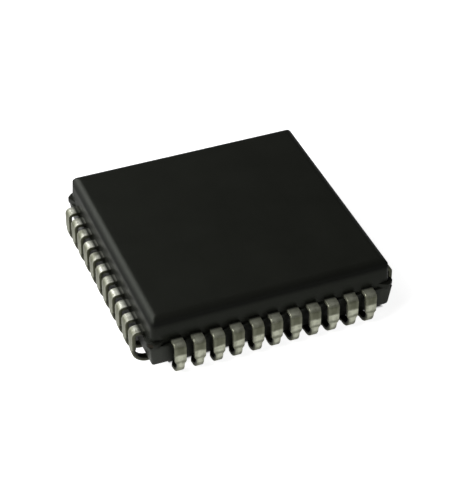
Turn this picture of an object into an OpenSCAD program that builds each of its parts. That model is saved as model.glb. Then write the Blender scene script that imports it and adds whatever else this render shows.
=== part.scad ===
// Square plastic chip carrier with J-shaped leads on all four sides, for reflow or a socket.
// Millimetres. Up is plus Z, the leads stand on height zero, the middle of the square is the origin.
// The front row of leads faces minus Y. Leads are counted round the square from its left end.

/* [Moulding] */
// Height of the top face over the seat of the leads
package_height = 4.27; // [4.00:0.01:4.60]
// Height of the parting plane, on which the lead strip lies
parting_height = 2.32; // [2.20:0.01:2.45]
// Gap from the seat up to the underside
seat_gap = 0.65; // [0.50:0.01:0.75]
// Distance from the middle of the end lead to the upper wall beside it
end_margin = 1.60; // [1.45:0.01:1.90]
// How far the lower half stands out from the upper half at the parting plane
parting_step = 0.15; // [0.04:0.01:0.20]
// Draft of the upper walls, in degrees
upper_draft = 3; // [2:0.5:8]
// Draft of the lower walls, in degrees
lower_draft = 6; // [3:0.5:9]
// Radius along the edges of the top face
top_round = 0.62; // [0.30:0.02:0.70]
// Lean of that round where it meets the wall at a faint edge, in degrees
round_lean = 28; // [20:1:45]
// Bevel along the edges of the underside
foot_bevel = 0.28; // [0.10:0.01:0.34]
// Cut across the four upright corners of the upper half, measured along each wall
corner_cut = 0.26; // [0.10:0.02:0.50]
// The same cut on the lower half
lower_corner_cut = 0.10; // [0.06:0.02:0.30]
// Width of the round mark that the ejector pin leaves in the underside
ejector_width = 3.2; // [2.0:0.1:4.0]
// Depth of that mark
ejector_depth = 0.10; // [0.05:0.01:0.15]

/* [Corner ears] */
// How far an ear stands out from the upper wall at the parting plane
ear_reach = 0.25; // [0.23:0.01:0.36]
// Length of an ear's outer face along each wall, from the corner
ear_length = 0.53; // [0.46:0.01:0.70]
// Length along the wall of the slanted end beyond that face
ear_slant = 0.52; // [0.30:0.02:0.70]
// How far an ear reaches below the parting plane
ear_drop = 0.06; // [0.04:0.01:0.10]
// Cut across the outer corner of an ear, where the tie bar ends
ear_cut = 0.36; // [0.30:0.01:0.42]

/* [Leads] */
// Leads along each side
leads_per_side = 11; // [5:2:13]
// Spacing of the leads
lead_pitch = 1.27; // [1.27:0.01:1.40]
// Thickness of the lead strip
lead_thickness = 0.25; // [0.20:0.01:0.26]
// Gap from the parting plane up to the underside of the strip
strip_rise = 0.02; // [0.01:0.01:0.03]
// Width of a lead at the shoulder
lead_width = 0.74; // [0.66:0.01:0.81]
// Width of a lead round the J
foot_width = 0.46; // [0.33:0.01:0.53]
// Distance from the upper wall at the parting plane to the outer face of a lead
lead_offset = 0.81; // [0.70:0.01:0.90]
// Outer radius of the bend at the shoulder
shoulder_radius = 0.36; // [0.32:0.01:0.50]
// Outer radius of the J
j_radius = 1.05; // [0.90:0.01:1.14]
// Height at which a lead begins to narrow
narrow_from = 1.28; // [1.15:0.01:1.60]
// Height at which a lead has reached its narrow width
narrow_to = 1.02; // [0.85:0.01:1.10]
// Clear space round the tip of a lead in its pocket
pocket_gap = 0.15; // [0.08:0.01:0.20]

/* [Lead frame inside] */
// Spacing of the finger tips round the paddle
finger_pitch = 0.70; // [0.60:0.01:0.75]
// Width of a finger tip
finger_width = 0.38; // [0.25:0.01:0.42]
// Distance from the end finger tip to the next row of tips, along the side
finger_corner = 0.70; // [0.65:0.01:0.90]
// Gap from the finger tips to the paddle
paddle_gap = 0.60; // [0.40:0.05:0.80]
// Width of the four tie bars that hold the paddle
tie_width = 0.34; // [0.25:0.01:0.40]

/* [Die and wires] */
// Rim of the paddle left free round the die
die_margin = 0.90; // [0.60:0.05:1.20]
// Thickness of the die
die_thickness = 0.38; // [0.25:0.01:0.45]
// Thickness of the glue layer under the die
bond_thickness = 0.05; // [0.03:0.01:0.08]
// Distance from the edge of the die to the wire pads
pad_margin = 0.20; // [0.10:0.01:0.30]
// Thickness of a bond wire
wire_thickness = 0.04; // [0.03:0.005:0.05]
// Height of the wire loop over the die
wire_loop = 0.26; // [0.15:0.01:0.35]
// Share of a wire's run over which its loop is level
wire_knee = 0.30; // [0.20:0.05:0.45]
// Distance from a finger's tip to the foot of its wire
wire_landing = 0.30; // [0.20:0.01:0.40]

/* [Hidden] */
$fn = 64;

lead_count = 4 * leads_per_side;
function two_digits(k) = str(k < 10 ? "0" : "", k);
function lead_name(k) = str("lead_", two_digits(k));

end_lead = lead_pitch * (leads_per_side - 1) / 2;

// Moulding, half widths from the middle.
upper_half = end_lead + end_margin;
upper_half_top = upper_half - (package_height - parting_height) * tan(upper_draft);
lower_half = upper_half + parting_step;
lower_half_foot = lower_half - (parting_height - seat_gap) * tan(lower_draft);
ear_half = upper_half + ear_reach;
ear_root = upper_half - ear_reach;

// A little more than the named round, so that it crosses the top face at a faint edge.
round_radius = 1.06 * top_round;

// The upper half reaches this far into the lower half, so that the two are one piece.
fuse_depth = lead_thickness;

// Lead strip and its bends.
strip_low = parting_height + strip_rise;
strip_top = strip_low + lead_thickness;
ear_top = strip_top + strip_rise;
lead_reach = upper_half + lead_offset;
shoulder_out = lead_reach - shoulder_radius;
shoulder_centre = strip_top - shoulder_radius;
j_out = lead_reach - j_radius;
tip_out = j_out - j_radius;

// Pocket in the underside for the tip, up to where the J crosses the underside.
j_inside = j_radius - lead_thickness;
j_crossing = j_out - sqrt(pow(j_inside, 2) - pow(j_radius - seat_gap, 2));
pocket_from = tip_out - pocket_gap;
pocket_to = j_crossing + pocket_gap;
pocket_roof = j_radius + pocket_gap;

// Fan of the fingers, from the tips to the straight part that leaves the moulding.
finger_ring = finger_pitch * (leads_per_side - 1) / 2 + finger_corner;
fan_ring = upper_half - lead_width / 2;
paddle_half = finger_ring - paddle_gap;
tie_end = (2 * ear_half - ear_cut) / sqrt(2);

// Stack on the paddle.
die_half = paddle_half - die_margin;
bond_top = strip_top + bond_thickness;
die_top = bond_top + die_thickness;
pad_ring = die_half - pad_margin;
pad_pitch = 2 * pad_ring / (leads_per_side + 1);
loop_top = die_top + wire_loop;

// Further than any wall, for shapes that are cut to size by others.
far = lead_reach + 2;

// How far a cutting shape runs past what it cuts.
spare = 1;

function wall_at(low, high, half_low, half_high, z) =
    half_low + (half_high - half_low) * (z - low) / (high - low);

// Place of a lead in its row, and of its finger tip and die pad, all along the side.
function row_place(i) = i - (leads_per_side - 1) / 2;
function lead_place(i) = row_place(i) * lead_pitch;
function tip_place(i) = row_place(i) * finger_pitch;
function pad_place(i) = row_place(i) * pad_pitch;

// Front view of the upper half: drafted walls, and a round that meets wall and top at edges.
module upper_front(half_low, half_high) {
    round_z = package_height - top_round;
    edge_z = round_z + top_round * sin(round_lean);
    round_x = wall_at(parting_height, package_height, half_low, half_high, edge_z)
        - top_round * cos(round_lean);
    difference() {
        polygon([
            [-half_low, parting_height],
            [fuse_depth - half_low, parting_height - fuse_depth],
            [half_low - fuse_depth, parting_height - fuse_depth],
            [half_low, parting_height],
            [half_high, package_height],
            [-half_high, package_height]
        ]);
        for (side = [0, 1])
            mirror([side, 0])
                translate([round_x, round_z])
                    difference() {
                        polygon([
                            [0, 0],
                            [spare * cos(round_lean), spare * sin(round_lean)],
                            [spare, spare],
                            [0, spare]
                        ]);
                        circle(r = round_radius);
                    }
    }
}

// Front view of the lower half: drafted walls and a small bevel at the underside.
module lower_front(half_high, half_low) {
    bevel_top = wall_at(seat_gap, parting_height, half_low, half_high, seat_gap + foot_bevel);
    polygon([
        [-half_high, parting_height],
        [-bevel_top, seat_gap + foot_bevel],
        [foot_bevel - half_low, seat_gap],
        [half_low - foot_bevel, seat_gap],
        [bevel_top, seat_gap + foot_bevel],
        [half_high, parting_height]
    ]);
}

// A front view drawn through the whole width, turned about the upright axis.
module through(turn) {
    rotate([90, 0, turn])
        linear_extrude(height = 2 * far, center = true)
            children();
}

// Half distance of a cut across the corner of a square with this half width.
function across(half, cut) = (2 * half - cut) / sqrt(2);

module upper_block() {
    intersection() {
        through(0)
            upper_front(upper_half, upper_half_top);
        through(90)
            upper_front(upper_half, upper_half_top);
        through(45)
            upper_front(across(upper_half, corner_cut), across(upper_half_top, corner_cut));
        through(-45)
            upper_front(across(upper_half, corner_cut), across(upper_half_top, corner_cut));
    }
}

module lower_block() {
    intersection() {
        through(0)
            lower_front(lower_half, lower_half_foot);
        through(90)
            lower_front(lower_half, lower_half_foot);
        through(45)
            lower_front(across(lower_half, lower_corner_cut), across(lower_half_foot, lower_corner_cut));
        through(-45)
            lower_front(across(lower_half, lower_corner_cut), across(lower_half_foot, lower_corner_cut));
    }
}

// Thin ears at the four corners of the parting plane, with slanted ends that run on into the wall.
module ears() {
    face_from = ear_half - ear_length;
    root_from = face_from - 2 * ear_slant;
    for (turn = [0 : 90 : 270])
        rotate([0, 0, turn])
            translate([0, 0, parting_height - ear_drop])
                linear_extrude(height = ear_top - parting_height + ear_drop)
                    polygon([
                        [root_from, root_from],
                        [ear_root, root_from],
                        [ear_half, face_from],
                        [ear_half, ear_half - ear_cut],
                        [ear_half - ear_cut, ear_half],
                        [face_from, ear_half],
                        [root_from, ear_root]
                    ]);
}

module tip_pocket() {
    width = foot_width + 2 * pocket_gap;
    translate([-width / 2, -pocket_to, seat_gap - spare])
        cube([width, pocket_to - pocket_from, pocket_roof - seat_gap + spare]);
}

module moulding_shape() {
    difference() {
        union() {
            upper_block();
            lower_block();
            ears();
        }
        for (k = [1 : lead_count])
            at_lead(k)
                tip_pocket();
        translate([0, 0, seat_gap - spare])
            cylinder(d = ejector_width, h = spare + ejector_depth);
    }
}

// Puts its children at the place of lead k, with the outside of the part towards minus Y.
module at_lead(k) {
    side = floor((k - 1) / leads_per_side);
    rotate([0, 0, 90 * side])
        translate([lead_place((k - 1) % leads_per_side), 0, 0])
            children();
}

// Side view of the formed end of a lead: out, over the shoulder, down, and round the J.
module lead_side() {
    translate([fan_ring, strip_low])
        square([shoulder_out - fan_ring, lead_thickness]);
    translate([shoulder_out, shoulder_centre])
        intersection() {
            difference() {
                circle(r = shoulder_radius);
                circle(r = shoulder_radius - lead_thickness);
            }
            square(2 * shoulder_radius);
        }
    translate([lead_reach - lead_thickness, j_radius])
        square([lead_thickness, shoulder_centre - j_radius]);
    translate([j_out, j_radius])
        intersection() {
            difference() {
                circle(r = j_radius);
                circle(r = j_inside);
            }
            translate([-2 * j_radius, -2 * j_radius])
                square([4 * j_radius, 2 * j_radius]);
        }
}

// Outline of a lead seen from outside: wide at the shoulder, narrow round the J.
module lead_face() {
    polygon([
        [-lead_width / 2, strip_top + spare],
        [-lead_width / 2, narrow_from],
        [-foot_width / 2, narrow_to],
        [-foot_width / 2, -spare],
        [foot_width / 2, -spare],
        [foot_width / 2, narrow_to],
        [lead_width / 2, narrow_from],
        [lead_width / 2, strip_top + spare]
    ]);
}

// Finger inside the moulding, from its tip at the paddle to the straight part at the wall.
module lead_finger(i) {
    slant = tip_place(i) - lead_place(i);
    translate([0, 0, strip_low])
        linear_extrude(height = lead_thickness)
            polygon([
                [slant - finger_width / 2, -finger_ring],
                [slant + finger_width / 2, -finger_ring],
                [lead_width / 2, -fan_ring],
                [-lead_width / 2, -fan_ring]
            ]);
}

module lead_shape(k) {
    at_lead(k) {
        intersection() {
            rotate([90, 0, -90])
                linear_extrude(height = lead_width, center = true)
                    lead_side();
            rotate([90, 0, 0])
                linear_extrude(height = far)
                    lead_face();
        }
        lead_finger((k - 1) % leads_per_side);
    }
}

// Square under the die, with a tie bar from each corner to the cut face of an ear.
module paddle_shape() {
    translate([0, 0, strip_low])
        linear_extrude(height = lead_thickness)
            union() {
                square(2 * paddle_half, center = true);
                for (turn = [45, 135])
                    rotate(turn)
                        square([2 * tie_end, tie_width], center = true);
            }
}

module die_bond_shape() {
    translate([-die_half, -die_half, strip_top])
        cube([2 * die_half, 2 * die_half, bond_thickness]);
}

module die_shape() {
    translate([-die_half, -die_half, bond_top])
        cube([2 * die_half, 2 * die_half, die_thickness]);
}

// One wire in its own upright plane: up from the die pad, over, and down onto the finger.
module wire_shape(k) {
    i = (k - 1) % leads_per_side;
    landing_part = wire_landing / (fan_ring - finger_ring);
    landing = tip_place(i) + (lead_place(i) - tip_place(i)) * landing_part;
    across_run = landing - pad_place(i);
    out_run = finger_ring + wire_landing - pad_ring;
    run = norm([across_run, out_run]);
    knee = wire_knee * run;
    fall = atan((loop_top - strip_top) / (run - knee));
    half = wire_thickness / 2;
    at_lead(k)
        translate([pad_place(i) - lead_place(i), -pad_ring, 0])
            rotate([90, 0, atan2(-out_run, across_run)])
                linear_extrude(height = wire_thickness, center = true)
                    polygon([
                        [-half, die_top],
                        [-half, loop_top],
                        [knee, loop_top],
                        [run, strip_top],
                        [run - wire_thickness / sin(fall), strip_top],
                        [knee - wire_thickness * tan(fall / 2), loop_top - wire_thickness],
                        [half, loop_top - wire_thickness],
                        [half, die_top]
                    ]);
}

module bond_wires_shape() {
    for (k = [1 : lead_count])
        wire_shape(k);
}

// The plastic is moulded round everything that it holds.
module body() {
    color([0.13, 0.13, 0.12])
        difference() {
            moulding_shape();
            for (k = [1 : lead_count])
                lead_shape(k);
            paddle_shape();
            die_bond_shape();
            die_shape();
            bond_wires_shape();
        }
}

module paddle() {
    color([0.72, 0.45, 0.30])
        paddle_shape();
}

module die_bond() {
    color([0.62, 0.62, 0.60])
        die_bond_shape();
}

module die() {
    color([0.35, 0.37, 0.42])
        die_shape();
}

module bond_wires() {
    color([0.85, 0.68, 0.30])
        bond_wires_shape();
}

module lead(k) {
    color([0.70, 0.70, 0.66])
        lead_shape(k);
}

body();
paddle();
die_bond();
die();
bond_wires();
for (k = [1 : lead_count])
    lead(k);
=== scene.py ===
import math

import bmesh
import bpy
from mathutils import Matrix, Vector


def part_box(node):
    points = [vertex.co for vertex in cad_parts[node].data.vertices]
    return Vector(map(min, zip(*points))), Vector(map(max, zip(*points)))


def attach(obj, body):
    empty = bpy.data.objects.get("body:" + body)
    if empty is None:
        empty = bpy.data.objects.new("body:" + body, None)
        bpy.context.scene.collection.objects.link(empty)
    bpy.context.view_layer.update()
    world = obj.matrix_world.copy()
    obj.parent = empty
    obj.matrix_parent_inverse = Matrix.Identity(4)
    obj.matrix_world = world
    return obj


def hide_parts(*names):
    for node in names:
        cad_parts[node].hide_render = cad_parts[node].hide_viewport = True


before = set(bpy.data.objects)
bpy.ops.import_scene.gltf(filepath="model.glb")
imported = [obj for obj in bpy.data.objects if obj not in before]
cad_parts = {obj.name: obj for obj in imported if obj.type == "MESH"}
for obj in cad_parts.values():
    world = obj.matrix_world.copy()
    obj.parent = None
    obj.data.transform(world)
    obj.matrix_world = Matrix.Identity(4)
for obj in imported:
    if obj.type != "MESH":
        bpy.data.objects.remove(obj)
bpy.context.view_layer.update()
scene = bpy.context.scene


# The leads. Each is one strip stamped from copper alloy sheet and plated with dull tin. A press forms
# the part outside the moulding: out, over a shoulder, straight down, and round a J whose tip turns up
# into a pocket below. Inside, the strip fans in to the die as a narrow finger.
MILLIMETRE = 0.001
LEADS_PER_SIDE = 11

middle_lead_low, middle_lead_high = (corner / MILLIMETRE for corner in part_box("lead_06"))
lead_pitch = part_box("lead_07")[1].x / MILLIMETRE - middle_lead_high.x
lead_width = middle_lead_high.x - middle_lead_low.x
lead_reach = -middle_lead_low.y
finger_ring = -middle_lead_high.y
strip_top = middle_lead_high.z
strip_thickness = 0.25
foot_width = 0.46
shoulder_radius = 0.36
j_radius = 1.05
narrow_from = 1.28
narrow_to = 1.02
fan_ring = 7.6
finger_pitch = 0.70
sheared_edge = 0.035
lead_standoff = 0.81
bend_points = 12
edge_points = 2


def add_node(tree, kind, settings=None, **links):
    """Add a node, set its properties, and feed its named inputs with values or other outputs."""
    made = tree.nodes.new(kind)
    for name, value in (settings or {}).items():
        setattr(made, name, value)
    for name, value in links.items():
        feed(tree, made.inputs[name.replace("_", " ")], value)
    return made


def feed(tree, socket, value):
    if isinstance(value, bpy.types.NodeSocket):
        tree.links.new(value, socket)
    else:
        socket.default_value = value


def tree_input(tree, name, kind, value=None):
    socket = tree.interface.new_socket(name=name, in_out="INPUT", socket_type=kind)
    if value is not None:
        socket.default_value = value


def math_node(tree, operation, a, b=0.0):
    made = add_node(tree, "ShaderNodeMath", {"operation": operation})
    feed(tree, made.inputs[0], a)
    feed(tree, made.inputs[1], b)
    return made.outputs[0]


def turn_about_z(tree, vector, angle):
    made = add_node(
        tree, "ShaderNodeVectorRotate", {"rotation_type": "Z_AXIS"}, Vector=vector, Angle=angle
    )
    return made.outputs["Vector"]


def j_lead_tree():
    tree = bpy.data.node_groups.new("j_lead_rows", "GeometryNodeTree")
    tree.interface.new_socket(name="Leads", in_out="OUTPUT", socket_type="NodeSocketGeometry")
    half = strip_thickness / 2
    middle = strip_top - half
    tip_line = lead_reach - 2 * j_radius + half
    vectors = {
        "Finger tip": (0, -finger_ring, middle),
        "Shoulder corner": (0, half - lead_reach, middle),
        "Heel corner": (0, half - lead_reach, half),
        "Toe corner": (0, -tip_line, half),
        "Lead tip": (0, -tip_line, j_radius),
    }
    floats = {
        "Shoulder bend": shoulder_radius - half,
        "J bend": j_radius - half,
        "Strip width": lead_width,
        "Strip thickness": strip_thickness,
        "Sheared edge": sheared_edge,
        "Foot share": foot_width / lead_width,
        "Narrow from": narrow_from,
        "Narrow to": narrow_to,
        "Pitch": lead_pitch,
        "Fan ring": fan_ring,
        "Finger ring": finger_ring,
        "Finger share": finger_pitch / lead_pitch,
        "Point spacing": 0.085,
        "Forming error": math.radians(0.12),
    }
    for name, value in vectors.items():
        tree_input(tree, name, "NodeSocketVector", value)
    for name, value in floats.items():
        tree_input(tree, name, "NodeSocketFloat", value)
    tree_input(tree, "Leads per side", "NodeSocketInt", LEADS_PER_SIDE)
    tree_input(tree, "Seed", "NodeSocketInt", 7)
    tree_input(tree, "Plating", "NodeSocketMaterial")
    given = add_node(tree, "NodeGroupInput").outputs
    index = add_node(tree, "GeometryNodeInputIndex").outputs[0]
    place = add_node(tree, "GeometryNodeInputPosition").outputs[0]

    # The middle line of the strip: five corners, rounded at the shoulder and twice at the J.
    corners = add_node(tree, "GeometryNodeMeshLine", {"mode": "OFFSET"}, Count=len(vectors))
    route = add_node(tree, "GeometryNodeIndexSwitch", {"data_type": "VECTOR"}, Index=index)
    bends = add_node(tree, "GeometryNodeIndexSwitch", {"data_type": "FLOAT"}, Index=index)
    for switch in (route, bends):
        while len(switch.index_switch_items) < len(vectors):
            switch.index_switch_items.new()
    for i, name in enumerate(vectors):
        feed(tree, route.inputs[1 + i], given[name])
    for i, name in {1: "Shoulder bend", 2: "J bend", 3: "J bend"}.items():
        feed(tree, bends.inputs[1 + i], given[name])
    set_corners = add_node(
        tree, "GeometryNodeSetPosition", Geometry=corners.outputs[0], Position=route.outputs[0]
    )
    to_curve = add_node(tree, "GeometryNodeMeshToCurve", Mesh=set_corners.outputs[0])
    formed = add_node(
        tree, "GeometryNodeFilletCurve", {"mode": "POLY"},
        Curve=to_curve.outputs[0], Count=bend_points, Radius=bends.outputs[0], Limit_Radius=True,
    )
    spaced = add_node(
        tree, "GeometryNodeResampleCurve", {"mode": "LENGTH"},
        Curve=formed.outputs[0], Length=given["Point spacing"],
    )

    # The strip's section, with the slightly rounded edges that stamping and plating leave.
    section = add_node(
        tree, "GeometryNodeCurvePrimitiveQuadrilateral", {"mode": "RECTANGLE"},
        Width=given["Strip width"], Height=given["Strip thickness"],
    )
    soft_section = add_node(
        tree, "GeometryNodeFilletCurve", {"mode": "POLY"},
        Curve=section.outputs[0], Count=edge_points, Radius=given["Sheared edge"], Limit_Radius=True,
    )
    strip = add_node(
        tree, "GeometryNodeCurveToMesh",
        Curve=spaced.outputs[0], Profile_Curve=soft_section.outputs[0], Fill_Caps=True,
    )

    # Below the leg the strip narrows on both sides to its foot width.
    along = add_node(tree, "ShaderNodeSeparateXYZ", Vector=place).outputs
    narrowing = add_node(
        tree, "ShaderNodeMapRange", {"interpolation_type": "SMOOTHSTEP"},
        Value=along["Z"], From_Min=given["Narrow to"], From_Max=given["Narrow from"],
        To_Min=given["Foot share"], To_Max=1.0,
    )
    narrowed = add_node(
        tree, "ShaderNodeCombineXYZ",
        X=math_node(tree, "MULTIPLY", along["X"], narrowing.outputs[0]), Y=along["Y"], Z=along["Z"],
    )
    with_across = add_node(
        tree, "GeometryNodeStoreNamedAttribute", {"data_type": "FLOAT", "domain": "POINT"},
        Geometry=strip.outputs[0], Name="across",
        Value=math_node(tree, "DIVIDE", along["X"], given["Strip width"]),
    )
    one_lead = add_node(
        tree, "GeometryNodeSetPosition", Geometry=with_across.outputs[0], Position=narrowed.outputs[0]
    )

    # One point for each lead, along the four sides in turn.
    per_side = given["Leads per side"]
    total = math_node(tree, "MULTIPLY", per_side, 4)
    points = add_node(tree, "GeometryNodeMeshLine", {"mode": "OFFSET"}, Count=total)
    in_row = math_node(tree, "MODULO", index, per_side)
    middle_of_row = math_node(tree, "DIVIDE", math_node(tree, "SUBTRACT", per_side, 1), 2)
    row_place = math_node(
        tree, "MULTIPLY", math_node(tree, "SUBTRACT", in_row, middle_of_row), given["Pitch"]
    )
    past_sides = math_node(tree, "DIVIDE", math_node(tree, "ADD", index, 0.5), per_side)
    side = math_node(tree, "FLOOR", past_sides)
    side_turn = math_node(tree, "MULTIPLY", side, math.pi / 2)
    row_point = add_node(tree, "ShaderNodeCombineXYZ", X=row_place).outputs[0]
    set_points = add_node(
        tree, "GeometryNodeSetPosition",
        Geometry=points.outputs[0], Position=turn_about_z(tree, row_point, side_turn),
    )
    error = add_node(
        tree, "FunctionNodeRandomValue", {"data_type": "FLOAT"},
        Min=-1.0, Max=1.0, Seed=given["Seed"],
    )
    lean = math_node(tree, "MULTIPLY", error.outputs["Value"], given["Forming error"])
    facing = add_node(tree, "ShaderNodeCombineXYZ", Z=math_node(tree, "ADD", side_turn, lean))
    placed = add_node(
        tree, "GeometryNodeInstanceOnPoints",
        Points=set_points.outputs[0], Instance=one_lead.outputs[0], Rotation=facing.outputs[0],
    )
    tone = add_node(
        tree, "FunctionNodeRandomValue", {"data_type": "FLOAT"},
        Min=0.0, Max=1.0, Seed=math_node(tree, "ADD", given["Seed"], 1),
    )
    with_tone = add_node(
        tree, "GeometryNodeStoreNamedAttribute", {"data_type": "FLOAT", "domain": "INSTANCE"},
        Geometry=placed.outputs[0], Name="tone", Value=tone.outputs["Value"],
    )
    with_turn = add_node(
        tree, "GeometryNodeStoreNamedAttribute", {"data_type": "FLOAT", "domain": "INSTANCE"},
        Geometry=with_tone.outputs[0], Name="side_turn", Value=side_turn,
    )
    real = add_node(tree, "GeometryNodeRealizeInstances", Geometry=with_turn.outputs[0])

    # Inside the moulding each row draws together towards the die, which also narrows the fingers.
    turn = add_node(tree, "GeometryNodeInputNamedAttribute", {"data_type": "FLOAT"}, Name="side_turn")
    back = math_node(tree, "MULTIPLY", turn.outputs["Attribute"], -1)
    in_front = add_node(tree, "ShaderNodeSeparateXYZ", Vector=turn_about_z(tree, place, back)).outputs
    fan = add_node(
        tree, "ShaderNodeMapRange",
        Value=math_node(tree, "MULTIPLY", in_front["Y"], -1),
        From_Min=given["Finger ring"], From_Max=given["Fan ring"],
        To_Min=given["Finger share"], To_Max=1.0,
    )
    fanned = add_node(
        tree, "ShaderNodeCombineXYZ",
        X=math_node(tree, "MULTIPLY", in_front["X"], fan.outputs[0]), Y=in_front["Y"], Z=in_front["Z"],
    )
    fingers = add_node(
        tree, "GeometryNodeSetPosition", Geometry=real.outputs[0],
        Position=turn_about_z(tree, fanned.outputs[0], turn.outputs["Attribute"]),
    )
    clean = add_node(
        tree, "GeometryNodeRemoveAttribute", Geometry=fingers.outputs[0], Name="side_turn"
    )
    plated = add_node(
        tree, "GeometryNodeSetMaterial", Geometry=clean.outputs[0], Material=given["Plating"]
    )
    result = add_node(tree, "NodeGroupOutput")
    tree.links.new(plated.outputs[0], result.inputs[0])
    return tree


def new_material(name):
    material = bpy.data.materials.new(name)
    material.use_nodes = True
    return material, material.node_tree, material.node_tree.nodes["Principled BSDF"]


def millimetre_coordinates(tree, scale=(1, 1, 1)):
    """The piece's own coordinates in millimetres, stretched by scale."""
    coordinates = add_node(tree, "ShaderNodeTexCoord")
    mapping = add_node(
        tree, "ShaderNodeMapping", Vector=coordinates.outputs["Object"],
        Scale=tuple(s / MILLIMETRE for s in scale),
    )
    return mapping.outputs[0]


def noise(tree, vector, scale, detail, roughness=0.5):
    made = add_node(
        tree, "ShaderNodeTexNoise", Vector=vector, Scale=scale, Detail=detail, Roughness=roughness
    )
    return made.outputs["Fac"]


def spread(tree, value, low, high, to_low, to_high):
    """Stretch the range from low to high over the other range, and stop at its ends."""
    made = add_node(
        tree, "ShaderNodeMapRange",
        Value=value, From_Min=low, From_Max=high, To_Min=to_low, To_Max=to_high,
    )
    return made.outputs[0]


def blend_colours(tree, share, first, second):
    made = add_node(tree, "ShaderNodeMix", {"data_type": "RGBA"})
    feed(tree, made.inputs["Factor"], share)
    for socket, value in ((made.inputs[6], first), (made.inputs[7], second)):
        feed(tree, socket, value if isinstance(value, bpy.types.NodeSocket) else (*value, 1.0))
    return made.outputs[2]


def bump(tree, height, depth, strength):
    """Relief of this depth in millimetres."""
    made = add_node(
        tree, "ShaderNodeBump", Height=height, Distance=depth * MILLIMETRE, Strength=strength
    )
    return made.outputs[0]


def ramp(tree, value, stops):
    """A value that changes along the given (position, value) stops."""
    made = add_node(tree, "ShaderNodeValToRGB")
    feed(tree, made.inputs["Fac"], value)
    elements = made.color_ramp.elements
    while len(elements) < len(stops):
        elements.new(0.5)
    for element, (position, level) in zip(elements, stops):
        element.position = position
        element.color = (level, level, level, 1.0)
    return made.outputs["Color"]


def blend_values(tree, share, first, second):
    made = add_node(tree, "ShaderNodeMix", {"data_type": "FLOAT"})
    for socket, value in ((made.inputs[0], share), (made.inputs[2], first), (made.inputs[3], second)):
        feed(tree, socket, value)
    return made.outputs[0]


def out_from_middle(tree, place, operation):
    """Compare or combine the two distances from the middle planes, across and then along."""
    sides = [math_node(tree, "ABSOLUTE", place[axis]) for axis in "XY"]
    return math_node(tree, operation, *sides)


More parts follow.
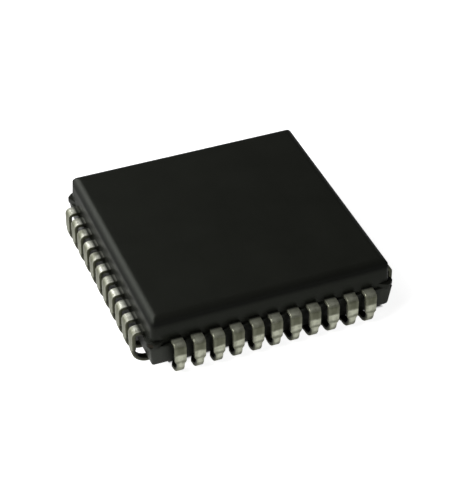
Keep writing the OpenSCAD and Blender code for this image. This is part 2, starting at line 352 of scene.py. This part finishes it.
def dull_tin():
    material, tree, shader = new_material("dull_tin_plating")
    shaded_tin = (0.122, 0.128, 0.070)
    front_bright_tin = (0.86, 0.88, 0.70)
    side_highlight_tin = (0.95, 0.96, 0.84)
    shaded_side_tin = (0.160, 0.165, 0.105)
    j_shade_tin = (0.040, 0.042, 0.028)
    wall_shade_tin = (0.034, 0.036, 0.027)
    long_streaks = (9.0, 9.0, 1.0)
    even = millimetre_coordinates(tree)
    drawn = millimetre_coordinates(tree, long_streaks)
    tone = add_node(tree, "ShaderNodeAttribute", {"attribute_name": "tone"}).outputs["Fac"]
    across = add_node(tree, "ShaderNodeAttribute", {"attribute_name": "across"}).outputs["Fac"]
    from_middle = math_node(tree, "ABSOLUTE", across)
    clouds = noise(tree, even, 1.6, 4.0, 0.6)
    streaks = noise(tree, drawn, 2.2, 3.0)
    place = add_node(tree, "ShaderNodeSeparateXYZ", Vector=even).outputs
    outward = out_from_middle(tree, place, "MAXIMUM")
    in_side_rows = out_from_middle(tree, place, "GREATER_THAN")
    wander = spread(tree, clouds, 0.3, 0.7, -0.05, 0.05)
    wander = math_node(tree, "ADD", wander, spread(tree, tone, 0.0, 1.0, -0.03, 0.03))
    share = math_node(tree, "DIVIDE", math_node(tree, "ADD", place["Z"], wander), strip_top)
    # Painted light by height, from the seat up: a dull J in painted shade, a painted highlight at the
    # heel, a painted dark line where the width steps in, a bright band on the leg, a dull upper leg
    # that is a painted reflection of the shaded table, and a painted highlight on the shoulder.
    front_painted_shine = ramp(tree, share, (
        (0.10, 0.36), (0.28, 0.50), (0.36, 1.00), (0.42, 0.92), (0.48, 0.28), (0.55, 0.90),
        (0.66, 0.94), (0.72, 0.13), (0.91, 0.12), (0.955, 0.48), (0.985, 0.95), (1.00, 1.00),
    ))
    # The rows on the left and right get other painted light, set for the light that falls from the
    # left:
    # dull legs and a painted highlight on the shoulder top.
    side_painted_shine = ramp(tree, share, (
        (0.10, 0.36), (0.45, 0.24), (0.90, 0.12), (0.955, 0.13), (0.985, 0.36), (1.00, 1.00),
    ))
    painted_shine = blend_values(tree, in_side_rows, front_painted_shine, side_painted_shine)
    # Across each leg the colour is painted as shading: lighter in the middle and darker towards the
    # edges, most on one side, with a painted light rim on the upper leg. Streaks and spots vary it at
    # random.
    front_across_shade = math_node(
        tree, "MINIMUM",
        spread(tree, across, -0.48, -0.14, 0.42, 1.06),
        spread(tree, across, -0.02, 0.46, 1.06, 0.64),
    )
    side_across_shade = spread(tree, across, -0.45, 0.0, 0.42, 1.0)
    painted_sheen = blend_values(tree, in_side_rows, front_across_shade, side_across_shade)
    painted_sheen = math_node(tree, "MULTIPLY", painted_sheen, spread(tree, streaks, 0.25, 0.75, 0.92, 1.16))
    spots = noise(tree, even, 3.4, 2.0)
    painted_sheen = math_node(tree, "MULTIPLY", painted_sheen, spread(tree, spots, 0.32, 0.68, 0.82, 1.30))
    painted_rim = spread(tree, from_middle, 0.18, 0.42, 0.0, spread(tree, share, 0.62, 0.72, 0.06, 0.16))
    sheen_level = math_node(tree, "ADD", math_node(tree, "MULTIPLY", painted_shine, painted_sheen), painted_rim)
    # The bright end is whiter in the side rows, as their painted highlight.
    bright = blend_colours(tree, in_side_rows, front_bright_tin, side_highlight_tin)
    tin = blend_colours(tree, sheen_level, shaded_tin, bright)
    # The sheared sides are painted darker, as painted shade between neighbouring leads, most of all in
    # the side rows, and are made less metallic.
    side_face_shade = spread(tree, from_middle, 0.46, 0.50, 0.0, 1.0)
    side_face_shade = math_node(tree, "MULTIPLY", side_face_shade, spread(tree, in_side_rows, 0.0, 1.0, 0.15, 1.0))
    tin = blend_colours(tree, side_face_shade, tin, shaded_side_tin)
    # The inside of the J is painted dark, as painted shade. This fades out a little way up the leg.
    inner_face, outer_face = j_radius - 0.19, j_radius - 0.05
    fade_from, fade_to = 1.2, 1.6
    below_axis = math_node(tree, "MINIMUM", math_node(tree, "SUBTRACT", place["Z"], j_radius), 0.0)
    out_from_axis = math_node(tree, "SUBTRACT", outward, lead_reach - j_radius)
    from_axis = add_node(tree, "ShaderNodeCombineXYZ", X=out_from_axis, Y=below_axis).outputs[0]
    from_axis = add_node(tree, "ShaderNodeVectorMath", {"operation": "LENGTH"}, Vector=from_axis)
    j_shade = spread(tree, from_axis.outputs["Value"], inner_face, outer_face, 1.0, 0.0)
    low_down = spread(tree, place["Z"], fade_from, fade_to, 1.0, 0.0)
    j_shade = math_node(tree, "MULTIPLY", j_shade, low_down)
    tin = blend_colours(tree, j_shade, tin, j_shade_tin)
    # The strip is painted dark beside the wall, as painted shade and a painted reflection of the dark
    # wall.
    # The dark part reaches less far in the front and back rows.
    shorter_shade = 0.13
    wall_face, full_shade = lead_reach - lead_standoff, lead_reach - 0.66
    shade_fades, shade_ends = lead_reach - 0.62, lead_reach - 0.42
    strip_low, strip_high = strip_top - 0.35, strip_top - 0.15
    shift = spread(tree, in_side_rows, 0.0, 1.0, shorter_shade, 0.0)
    shaded_outward = math_node(tree, "ADD", outward, shift)
    beside_wall = math_node(
        tree, "MINIMUM",
        spread(tree, shaded_outward, shade_fades, shade_ends, 1.0, 0.0),
        spread(tree, shaded_outward, wall_face, full_shade, 0.84, 1.0),
    )
    at_strip = spread(tree, place["Z"], strip_low, strip_high, 0.0, 1.0)
    wall_shade = math_node(tree, "MULTIPLY", beside_wall, at_strip)
    feed(tree, shader.inputs["Base Color"], blend_colours(tree, wall_shade, tin, wall_shade_tin))
    feed(tree, shader.inputs["Roughness"], spread(tree, painted_shine, 0.2, 1.0, 0.52, 0.36))
    # Where the painted shine is high the plating is more metallic, but the flats of the side rows stay
    # frosted.
    shine_metal = spread(tree, in_side_rows, 0.0, 1.0, 0.78, 0.40)
    metal = spread(tree, painted_shine, 0.2, 1.0, 0.70, shine_metal)
    metal = math_node(tree, "SUBTRACT", metal, math_node(tree, "MULTIPLY", side_face_shade, 0.4))
    feed(tree, shader.inputs["Metallic"], metal)
    grains = noise(tree, even, 14.0, 3.0)
    relief = math_node(tree, "ADD", math_node(tree, "MULTIPLY", streaks, 0.5), grains)
    feed(tree, shader.inputs["Normal"], bump(tree, relief, 0.006, 0.5))
    return material


def plain_mesh(source, name):
    """The evaluated shape of an object drawn in millimetres, as a new object in metres."""
    graph = bpy.context.evaluated_depsgraph_get()
    mesh = bpy.data.meshes.new_from_object(
        source.evaluated_get(graph), preserve_all_data_layers=True, depsgraph=graph
    )
    source.modifiers.clear()
    bpy.data.objects.remove(source)
    mesh.transform(Matrix.Scale(MILLIMETRE, 4))
    mesh.name = name
    piece = bpy.data.objects.new(name, mesh)
    scene.collection.objects.link(piece)
    return piece


def face_outwards(piece, sharp_from):
    """Close seams, turn faces outwards, and shade smoothly over edges under sharp_from degrees."""
    shape = bmesh.new()
    shape.from_mesh(piece.data)
    bmesh.ops.remove_doubles(shape, verts=shape.verts, dist=1e-7)
    bmesh.ops.recalc_face_normals(shape, faces=shape.faces)
    for face in shape.faces:
        face.smooth = True
    shape.to_mesh(piece.data)
    shape.free()
    piece.data.set_sharp_from_angle(angle=math.radians(sharp_from))


lead_rows = bpy.data.objects.new("lead_rows", bpy.data.meshes.new("lead_rows"))
scene.collection.objects.link(lead_rows)
forming = lead_rows.modifiers.new("forming", "NODES")
forming.node_group = j_lead_tree()
for socket in forming.node_group.interface.items_tree:
    if socket.in_out == "INPUT" and socket.name == "Plating":
        forming[socket.identifier] = dull_tin()
leads = plain_mesh(lead_rows, "leads")
face_outwards(leads, sharp_from=50)
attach(leads, "root")
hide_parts(*[f"lead_{k:02d}" for k in range(1, 4 * LEADS_PER_SIDE + 1)])


# The paddle. It is the middle of the same stamped sheet, left bare, and carries the die. Four tie bars
# held it in the strip until they were cut off flush with the ears at the corners.
def bare_copper():
    material, tree, shader = new_material("bare_copper_alloy")
    rolling_lines = (1.0, 14.0, 1.0)
    rolled = millimetre_coordinates(tree, rolling_lines)
    grain = noise(tree, rolled, 1.5, 4.0)
    copper = blend_colours(tree, grain, (0.62, 0.36, 0.22), (0.78, 0.50, 0.34))
    # Where a tie bar was cut off, its end has gone dark in the air.
    dark_from, dark_to = 7.4, 7.7
    place = add_node(tree, "ShaderNodeSeparateXYZ", Vector=millimetre_coordinates(tree)).outputs
    cut_end = spread(tree, out_from_middle(tree, place, "MINIMUM"), dark_from, dark_to, 0.0, 1.0)
    feed(tree, shader.inputs["Base Color"], blend_colours(tree, cut_end, copper, (0.035, 0.030, 0.022)))
    feed(tree, shader.inputs["Roughness"], spread(tree, grain, 0.3, 0.7, 0.28, 0.42))
    feed(tree, shader.inputs["Normal"], bump(tree, grain, 0.003, 0.4))
    shader.inputs["Metallic"].default_value = 1.0
    return material


def refinish(node, material):
    """Give a CAD node whose shape is right this finish."""
    node_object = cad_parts[node]
    for material_slot in node_object.material_slots:
        material_slot.material = material


refinish("paddle", bare_copper())


# The glue under the die is an epoxy filled with silver flakes. It is put on the paddle as a paste,
# pressed thin by the die and cured in an oven.
def silver_glue():
    material, tree, shader = new_material("silver_filled_epoxy")
    flakes = noise(tree, millimetre_coordinates(tree), 22.0, 2.0)
    silver = blend_colours(tree, flakes, (0.40, 0.40, 0.38), (0.66, 0.66, 0.64))
    feed(tree, shader.inputs["Base Color"], silver)
    feed(tree, shader.inputs["Roughness"], spread(tree, flakes, 0.3, 0.7, 0.45, 0.65))
    feed(tree, shader.inputs["Normal"], bump(tree, flakes, 0.005, 0.5))
    shader.inputs["Metallic"].default_value = 0.5
    return material


refinish("die_bond", silver_glue())


# The die is a square sawn from a polished silicon wafer and glued to the middle of the paddle. Its
# face has faint blocks of circuits.
def silicon():
    material, tree, shader = new_material("patterned_silicon")
    even = millimetre_coordinates(tree)
    blocks = add_node(
        tree, "ShaderNodeTexVoronoi", {"distance": "CHEBYCHEV"}, Vector=even, Scale=1.3
    ).outputs["Distance"]
    fine = noise(tree, even, 9.0, 5.0)
    pattern = math_node(tree, "MULTIPLY", blocks, fine)
    grey = blend_colours(tree, pattern, (0.14, 0.15, 0.20), (0.34, 0.36, 0.42))
    feed(tree, shader.inputs["Base Color"], grey)
    feed(tree, shader.inputs["Roughness"], spread(tree, fine, 0.3, 0.7, 0.12, 0.25))
    shader.inputs["Metallic"].default_value = 0.3
    return material


refinish("die", silicon())


# The bond wires are drawn gold. Each is welded to a pad on the die and to the tip of a finger, and
# arches between them.
def gold_wire():
    material, tree, shader = new_material("drawn_gold")
    drawn = noise(tree, millimetre_coordinates(tree), 12.0, 3.0)
    gold = blend_colours(tree, drawn, (0.80, 0.58, 0.20), (0.90, 0.70, 0.32))
    feed(tree, shader.inputs["Base Color"], gold)
    feed(tree, shader.inputs["Roughness"], spread(tree, drawn, 0.3, 0.7, 0.18, 0.28))
    shader.inputs["Metallic"].default_value = 1.0
    return material


refinish("bond_wires", gold_wire())


# The moulding. Black glass-filled epoxy is pressed round the wired frame in a two-part mould, so both
# halves have drafted walls that meet at the leads, small ears at the corners, and a fine grain from
# the spark-eroded mould. The underside has a pocket for the tip of each lead.
body_low, body_high = (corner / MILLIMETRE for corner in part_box("body"))
ear_standoff = 0.56
tie_bar_skin = 0.02
parting_step = 0.15
ear_half = lead_reach - ear_standoff
top_height = body_high.z
seat_gap = body_low.z
parting_height = strip_top - strip_thickness - tie_bar_skin
upper_half = lead_reach - lead_standoff
lower_half = upper_half + parting_step
upper_draft = math.radians(3)
lower_draft = math.radians(6)
top_round = 0.62
round_start = 28
foot_round = 0.32
foot_round_end = -7
parting_round = 0.025
upper_corner = 0.30
least_corner = 0.16
corner_loss = 0.6
lower_corner = 0.12
corner_steps = 6
ear_cut = 0.38
ear_length = 0.53
ear_slant = 0.52
ear_drop = 0.06
ear_edge = 0.03
pocket_gap = 0.15
outer_gap_share = 2.1
ejector_width = 3.2
ejector_depth = 0.10
ejector_sides = 64
cutter_overrun = 0.5


def arc(centre, radius, start, end, steps):
    """Points of an arc in the plane of half width and height."""
    turns = (math.radians(start + (end - start) * i / steps) for i in range(steps + 1))
    return [(centre[0] + radius * math.cos(a), centre[1] + radius * math.sin(a)) for a in turns]


def rounded_square(half, rounding, height):
    points = []
    for quarter in range(4):
        for i in range(corner_steps + 1):
            a = math.radians(90 * (quarter + i / corner_steps))
            middle = math.radians(90 * quarter + 45)
            inner = (half - rounding) * math.sqrt(2)
            points.append((
                inner * math.cos(middle) + rounding * math.cos(a),
                inner * math.sin(middle) + rounding * math.sin(a),
                height,
            ))
    return points


def loft(shape, rings):
    """Join closed rings of points with faces and close both ends."""
    rows = [[shape.verts.new(p) for p in ring] for ring in rings]
    count = len(rows[0])
    for low, high in zip(rows, rows[1:]):
        for i in range(count):
            j = (i + 1) % count
            shape.faces.new((low[i], low[j], high[j], high[i]))
    shape.faces.new(rows[0][::-1])
    shape.faces.new(rows[-1])


def shape_object(name, shape):
    mesh = bpy.data.meshes.new(name)
    bmesh.ops.recalc_face_normals(shape, faces=shape.faces)
    shape.to_mesh(mesh)
    shape.free()
    made = bpy.data.objects.new(name, mesh)
    scene.collection.objects.link(made)
    return made


def upper_wall(height):
    return upper_half - (height - parting_height) * math.tan(upper_draft)


def lower_wall(height):
    return lower_half - (parting_height - height) * math.tan(lower_draft)


def corner_round(half, height):
    """The rounding of the corners at this height. It shrinks as the upper half narrows."""
    if height <= parting_height - parting_round / 2:
        return lower_corner
    return max(least_corner, upper_corner - corner_loss * (upper_half - half))


# Half widths and heights up the moulding: underside, lower wall, parting ledge, upper wall, top.
round_height = top_height - top_round + top_round * math.sin(math.radians(round_start))
round_centre = (
    upper_wall(round_height) - top_round * math.cos(math.radians(round_start)),
    top_height - top_round,
)
foot_height = seat_gap + foot_round
foot_centre = (lower_wall(foot_height) - foot_round, foot_height)
parting_centre = (lower_half - parting_round, parting_height - parting_round)
outline = (
    arc(foot_centre, foot_round, -90, foot_round_end, steps=4)
    + arc(parting_centre, parting_round, 0, 90, steps=3)
    + [(upper_half, parting_height)]
    + arc(round_centre, top_round, round_start, 90, steps=9)
)
shell = bmesh.new()
loft(shell, [
    rounded_square(half, corner_round(half, height), height) for half, height in outline
])
moulding_form = shape_object("moulding_form", shell)


# A thin ear at each corner of the parting line, where a tie bar leaves the moulding.
def ear_ring(height):
    face_from = ear_half - ear_length
    root_from = face_from - 2 * ear_slant
    root = 2 * upper_half - ear_half
    cut = ear_half - ear_cut
    return [
        (x, y, height)
        for x, y in (
            (root_from, root_from), (root, root_from), (ear_half, face_from), (ear_half, cut),
            (cut, ear_half), (face_from, ear_half), (root_from, root),
        )
    ]


ears_shape = bmesh.new()
for quarter in range(4):
    turn = Matrix.Rotation(math.radians(90 * quarter), 4, "Z")
    before = set(ears_shape.verts)
    loft(ears_shape, [ear_ring(parting_height - ear_drop), ear_ring(strip_top + tie_bar_skin)])
    bmesh.ops.transform(ears_shape, matrix=turn, verts=[v for v in ears_shape.verts if v not in before])
outer = {v for v in ears_shape.verts if max(abs(v.co.x), abs(v.co.y)) > ear_half - 1e-4}
bmesh.ops.bevel(
    ears_shape, geom=[e for e in ears_shape.edges if outer.issuperset(e.verts)],
    offset=ear_edge, segments=2, profile=0.5, affect="EDGES", clamp_overlap=True,
)
ears_form = shape_object("ears_form", ears_shape)

# Cutters for the pockets and for the shallow mark of the ejector pin.
tip_out = lead_reach - 2 * j_radius
pocket_from = tip_out - pocket_gap
pocket_to = tip_out + strip_thickness + outer_gap_share * pocket_gap
pocket_roof = j_radius + pocket_gap
pocket_half = foot_width / 2 + pocket_gap
cutter_foot = seat_gap - cutter_overrun
cutters = bmesh.new()
for quarter in range(4):
    for in_row in range(LEADS_PER_SIDE):
        middle = (in_row - (LEADS_PER_SIDE - 1) / 2) * lead_pitch
        corners = [
            (middle + pocket_half * sx, -(pocket_from if inner else pocket_to))
            for sx, inner in ((-1, False), (1, False), (1, True), (-1, True))
        ]
        turn = Matrix.Rotation(math.radians(90 * quarter), 4, "Z")
        loft(cutters, [
            [turn @ Vector((x, y, height)) for x, y in corners]
            for height in (cutter_foot, pocket_roof)
        ])
loft(cutters, [
    [
        (ejector_width / 2 * math.cos(a), ejector_width / 2 * math.sin(a), height)
        for a in (math.radians(360 * i / ejector_sides) for i in range(ejector_sides))
    ]
    for height in (cutter_foot, seat_gap + ejector_depth)
])
cutter_form = shape_object("cutter_form", cutters)

for name, operation, tool in (("ears", "UNION", ears_form), ("pockets", "DIFFERENCE", cutter_form)):
    cut = moulding_form.modifiers.new(name, "BOOLEAN")
    cut.operation = operation
    cut.object = tool
    cut.solver = "EXACT"
    cut.use_self = True


def black_epoxy():
    material, tree, shader = new_material("black_epoxy_compound")
    deep_black = (0.0094, 0.0100, 0.0079)
    paler_black = (0.0125, 0.0133, 0.0106)
    filler_grey = (0.045, 0.047, 0.041)
    reflection_grey = (0.046, 0.049, 0.041)
    crease_shade_black = (0.003, 0.003, 0.003)
    even = millimetre_coordinates(tree)
    flow = spread(tree, noise(tree, even, 0.35, 3.0, 0.55), 0.3, 0.7, 0.0, 1.0)
    grain = noise(tree, even, 22.0, 3.0, 0.6)
    pores = noise(tree, even, 9.0, 2.0)
    filler = noise(tree, even, 34.0, 1.0)
    dark = blend_colours(tree, flow, deep_black, paler_black)
    specks = spread(tree, filler, 0.66, 0.74, 0.0, 0.5)
    speckled = blend_colours(tree, specks, dark, filler_grey)
    # The corners of the lower half are painted lighter grey, as a painted reflection of the pale table
    # they face.
    sheen_from, sheen_to = 6.9, 7.4
    sheen_fade = 0.3
    place = add_node(tree, "ShaderNodeSeparateXYZ", Vector=even).outputs
    corner = spread(tree, out_from_middle(tree, place, "MINIMUM"), sheen_from, sheen_to, 0.0, 1.0)
    below = spread(tree, place["Z"], parting_height - sheen_fade, parting_height, 1.0, 0.0)
    painted_sheen = math_node(tree, "MULTIPLY", corner, below)
    plastic = blend_colours(tree, painted_sheen, speckled, reflection_grey)
    # The crease below the top's round is painted darker, as painted shade and dark reflection, and is
    # made duller.
    crease_height = round_height - 0.08
    crease_core, crease_reach = 0.05, 0.34
    crease_dullness = 0.34
    from_crease = math_node(tree, "ABSOLUTE", math_node(tree, "SUBTRACT", place["Z"], crease_height))
    crease_shade = spread(tree, from_crease, crease_core, crease_reach, 1.0, 0.0)
    feed(tree, shader.inputs["Base Color"], blend_colours(tree, crease_shade, plastic, crease_shade_black))
    dulled = math_node(tree, "MULTIPLY", crease_shade, crease_dullness)
    rough = math_node(tree, "ADD", spread(tree, grain, 0.3, 0.7, 0.34, 0.46), dulled)
    feed(tree, shader.inputs["Roughness"], rough)
    pits = spread(tree, pores, 0.2, 0.35, 0.0, 0.8)
    relief = math_node(tree, "ADD", grain, pits)
    feed(tree, shader.inputs["Normal"], bump(tree, relief, 0.008, 0.35))
    shader.inputs["IOR"].default_value = 1.37
    shader.inputs["Specular Tint"].default_value = (0.93, 1.0, 0.85, 1.0)
    return material


body = plain_mesh(moulding_form, "moulding")
for form in (ears_form, cutter_form):
    bpy.data.objects.remove(form)
face_outwards(body, sharp_from=32)
body.data.materials.clear()
body.data.materials.append(black_epoxy())
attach(body, "root")
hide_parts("body")


# The table is a wide sheet of white paper laid flat under the leads. It shows white to the camera and
# keeps the chip's shadow.
def white_sheet():
    material, tree, shader = new_material("white_sheet")
    even = millimetre_coordinates(tree)
    place = add_node(tree, "ShaderNodeSeparateXYZ", Vector=even).outputs
    # The sheet is painted dark, as a painted shadow, under the body and the left row of leads, and its
    # glow is off there. The dark part reaches out to the leads along that row, and draws back at the
    # front left corner.
    row_end, past_row = 6.3, 6.6
    under_row, under_wall = 0.4 - lead_reach, 0.2 - lower_half
    corner_from, corner_to = -7.2, -6.6
    drawn_back, under_front = -5.2, -7.25
    under_right, under_back = lower_half - 0.2, lower_half - 0.3
    shadow_blur = 0.1
    along_row = math_node(tree, "ABSOLUTE", place["Y"])
    left_edge = spread(tree, along_row, row_end, past_row, under_row, under_wall)
    front_edge = spread(tree, place["X"], corner_from, corner_to, drawn_back, under_front)
    past_left = math_node(tree, "SUBTRACT", left_edge, place["X"])
    past_front = math_node(tree, "SUBTRACT", front_edge, place["Y"])
    past_right = math_node(tree, "SUBTRACT", place["X"], under_right)
    past_back = math_node(tree, "SUBTRACT", place["Y"], under_back)
    past_edge = past_left
    for past_side in (past_front, past_right, past_back):
        past_edge = math_node(tree, "MAXIMUM", past_edge, past_side)
    lit = spread(tree, past_edge, -shadow_blur, shadow_blur, 0.0, 1.0)
    paper = noise(tree, even, 0.05, 2.0)
    pale = blend_colours(tree, paper, (0.77, 0.77, 0.77), (0.80, 0.80, 0.80))
    feed(tree, shader.inputs["Base Color"], blend_colours(tree, lit, (0.12, 0.12, 0.12), pale))
    shader.inputs["Roughness"].default_value = 0.9
    shader.inputs["Specular IOR Level"].default_value = 0.0
    # It glows white to the camera, and faintly in what mirrors it close by.
    camera_glow, mirrored_glow = 0.90, 0.18
    glow_from, glow_to = 14.0, 30.0
    path = add_node(tree, "ShaderNodeLightPath").outputs
    looked_at = math_node(tree, "MULTIPLY", path["Is Camera Ray"], camera_glow)
    mirrored = math_node(tree, "MAXIMUM", path["Is Glossy Ray"], path["Is Transmission Ray"])
    away = add_node(tree, "ShaderNodeVectorMath", {"operation": "LENGTH"}, Vector=even)
    near = spread(tree, away.outputs["Value"], glow_from, glow_to, mirrored_glow, 0.0)
    seen = math_node(tree, "MAXIMUM", looked_at, math_node(tree, "MULTIPLY", mirrored, near))
    shader.inputs["Emission Color"].default_value = (1.0, 1.0, 1.0, 1.0)
    feed(tree, shader.inputs["Emission Strength"], math_node(tree, "MULTIPLY", seen, lit))
    return material


table_half = 0.6
table_shape = bmesh.new()
bmesh.ops.create_grid(table_shape, x_segments=1, y_segments=1, size=table_half)
table = shape_object("table", table_shape)
table.data.materials.append(white_sheet())


# Light: one large soft window stands behind and to the left, and another high on the left. The room
# is dim, but shows white to the camera.
def soft_window(name, direction, distance, size, power):
    lamp = bpy.data.lights.new(name, "AREA")
    lamp.shape = "SQUARE"
    lamp.size = size
    lamp.energy = power
    made = bpy.data.objects.new(name, lamp)
    made.location = Vector(direction).normalized() * distance
    made.rotation_euler = Vector(direction).to_track_quat("Z", "Y").to_euler()
    scene.collection.objects.link(made)


soft_window("window_back", (-0.50, 0.66, 0.52), distance=0.30, size=0.24, power=0.49)
soft_window("window_left", (-0.87, -0.10, 0.77), distance=0.35, size=0.20, power=0.74)

world = bpy.data.worlds.new("room")
world.use_nodes = True
scene.world = world
room = world.node_tree
background = room.nodes["Background"]
room_path = add_node(room, "ShaderNodeLightPath").outputs
room_light, white = 0.05, 1.0
strength = spread(room, room_path["Is Camera Ray"], 0.0, 1.0, room_light, white)
background.inputs["Color"].default_value = (1.0, 1.0, 1.0, 1.0)
feed(room, background.inputs["Strength"], strength)

# The camera looks down on the front left corner, as the photograph does.
IMAGE_HEIGHT_PX = 500
camera_turn = math.radians(-21.76)
camera_rise = math.radians(38.89)
camera_roll = math.radians(0.13)
camera_distance = 111.56
focal_px = 1715.6
aim = Vector((0.0, 0.0, 2.01))
aim_right, aim_up = 0.137, -0.379

back = Vector((
    math.sin(camera_turn) * math.cos(camera_rise),
    -math.cos(camera_turn) * math.cos(camera_rise),
    math.sin(camera_rise),
))
level_right = Vector((math.cos(camera_turn), math.sin(camera_turn), 0.0))
level_up = back.cross(level_right)
right = level_right * math.cos(camera_roll) + level_up * math.sin(camera_roll)
up = level_up * math.cos(camera_roll) - level_right * math.sin(camera_roll)
camera_data = bpy.data.cameras.new("camera")
camera_data.sensor_fit = "VERTICAL"
camera_data.sensor_height = 36.0
camera_data.lens = camera_data.sensor_height * focal_px / IMAGE_HEIGHT_PX
camera_data.clip_start = 0.001
camera = bpy.data.objects.new("camera", camera_data)
scene.collection.objects.link(camera)
eye = (aim + back * camera_distance + right * aim_right + up * aim_up) * MILLIMETRE
camera.matrix_world = Matrix((
    (right.x, up.x, back.x, eye.x),
    (right.y, up.y, back.y, eye.y),
    (right.z, up.z, back.z, eye.z),
    (0, 0, 0, 1),
))
scene.camera = camera
scene.view_settings.view_transform = "Standard"
